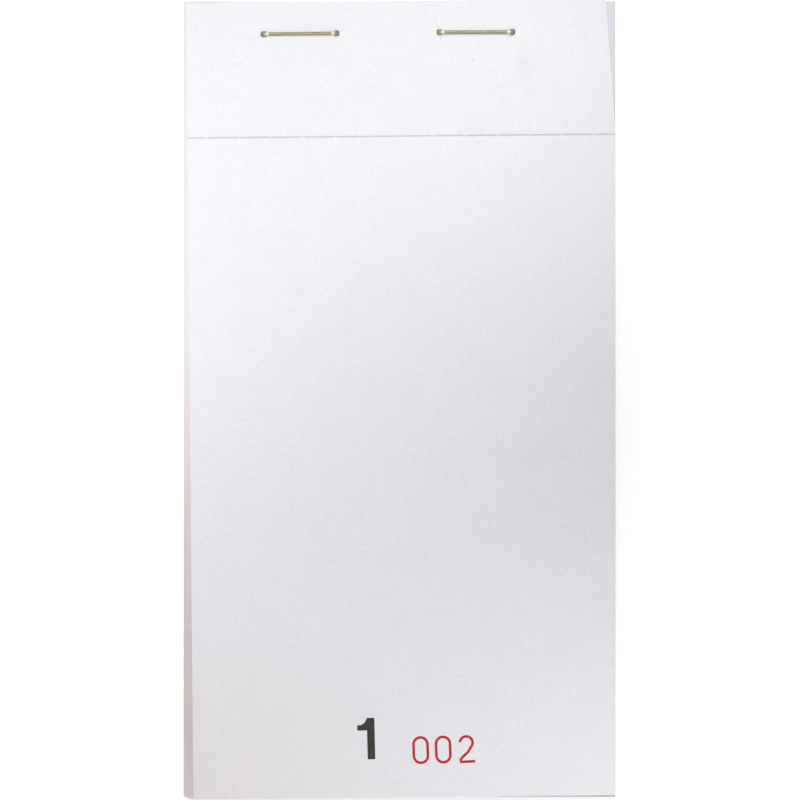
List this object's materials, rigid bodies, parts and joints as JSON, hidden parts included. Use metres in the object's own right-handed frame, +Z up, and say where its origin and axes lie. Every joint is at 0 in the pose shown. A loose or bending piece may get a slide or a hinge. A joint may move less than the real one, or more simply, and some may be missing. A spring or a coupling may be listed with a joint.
{
  "type": "triplicate invoice book",
  "caption": "Small top-stitched triplicate invoice book: white, yellow and pink copies on a back board, wire staples through a stub, and perforated leaves that turn up.",
  "frame": {"origin": "centre of the back board's underside", "axes": "+Y along the book towards its stitched end, +X to the right of a reader, +Z up out of the top sheet"},
  "size_m": [0.076, 0.1407, 0.0072],
  "materials": {
    "white_paper": "matte",
    "yellow_paper": "matte",
    "pink_paper": "matte",
    "grey_board": "matte",
    "brass_wire": "satin"
  },
  "bodies": {
    "book": {"back_board": "grey_board", "staple_left": "brass_wire", "staple_right": "brass_wire", "white_stub_01": "white_paper", "yellow_stub_01": "yellow_paper", "pink_stub_01": "pink_paper", "white_sheet_02": "white_paper", "white_sheet_03": "white_paper", "white_sheet_04": "white_paper", "white_sheet_05": "white_paper", "white_sheet_06": "white_paper", "white_sheet_07": "white_paper", "white_sheet_08": "white_paper", "white_sheet_09": "white_paper", "white_sheet_10": "white_paper", "white_sheet_11": "white_paper", "white_sheet_12": "white_paper", "white_sheet_13": "white_paper", "white_sheet_14": "white_paper", "white_sheet_15": "white_paper", "yellow_sheet_02": "yellow_paper", "yellow_sheet_03": "yellow_paper", "yellow_sheet_04": "yellow_paper", "yellow_sheet_05": "yellow_paper", "yellow_sheet_06": "yellow_paper", "yellow_sheet_07": "yellow_paper", "yellow_sheet_08": "yellow_paper", "yellow_sheet_09": "yellow_paper", "yellow_sheet_10": "yellow_paper", "yellow_sheet_11": "yellow_paper", "yellow_sheet_12": "yellow_paper", "yellow_sheet_13": "yellow_paper", "yellow_sheet_14": "yellow_paper", "yellow_sheet_15": "yellow_paper", "pink_sheet_02": "pink_paper", "pink_sheet_03": "pink_paper", "pink_sheet_04": "pink_paper", "pink_sheet_05": "pink_paper", "pink_sheet_06": "pink_paper", "pink_sheet_07": "pink_paper", "pink_sheet_08": "pink_paper", "pink_sheet_09": "pink_paper", "pink_sheet_10": "pink_paper", "pink_sheet_11": "pink_paper", "pink_sheet_12": "pink_paper", "pink_sheet_13": "pink_paper", "pink_sheet_14": "pink_paper", "pink_sheet_15": "pink_paper"},
    "pink_leaf": {"pink_leaf_01": "pink_paper"},
    "yellow_leaf": {"yellow_leaf_01": "yellow_paper"},
    "white_leaf": {"white_leaf_01": "white_paper"}
  },
  "joints": [
    {"name": "pink_leaf_turn", "type": "hinge", "parent": "book", "child": "pink_leaf", "pos_m": [0.00017, 0.04622, 0.00662], "axis": [-1, -0.0094, 0], "range_deg": [0, 35]},
    {"name": "yellow_leaf_turn", "type": "hinge", "parent": "pink_leaf", "child": "yellow_leaf", "pos_m": [0.00017, 0.04622, 0.00662], "axis": [-1, -0.0094, 0], "range_deg": [0, 45]},
    {"name": "white_leaf_turn", "type": "hinge", "parent": "yellow_leaf", "child": "white_leaf", "pos_m": [0.00017, 0.04622, 0.00662], "axis": [-1, -0.0094, 0], "range_deg": [0, 95]}
  ]
}
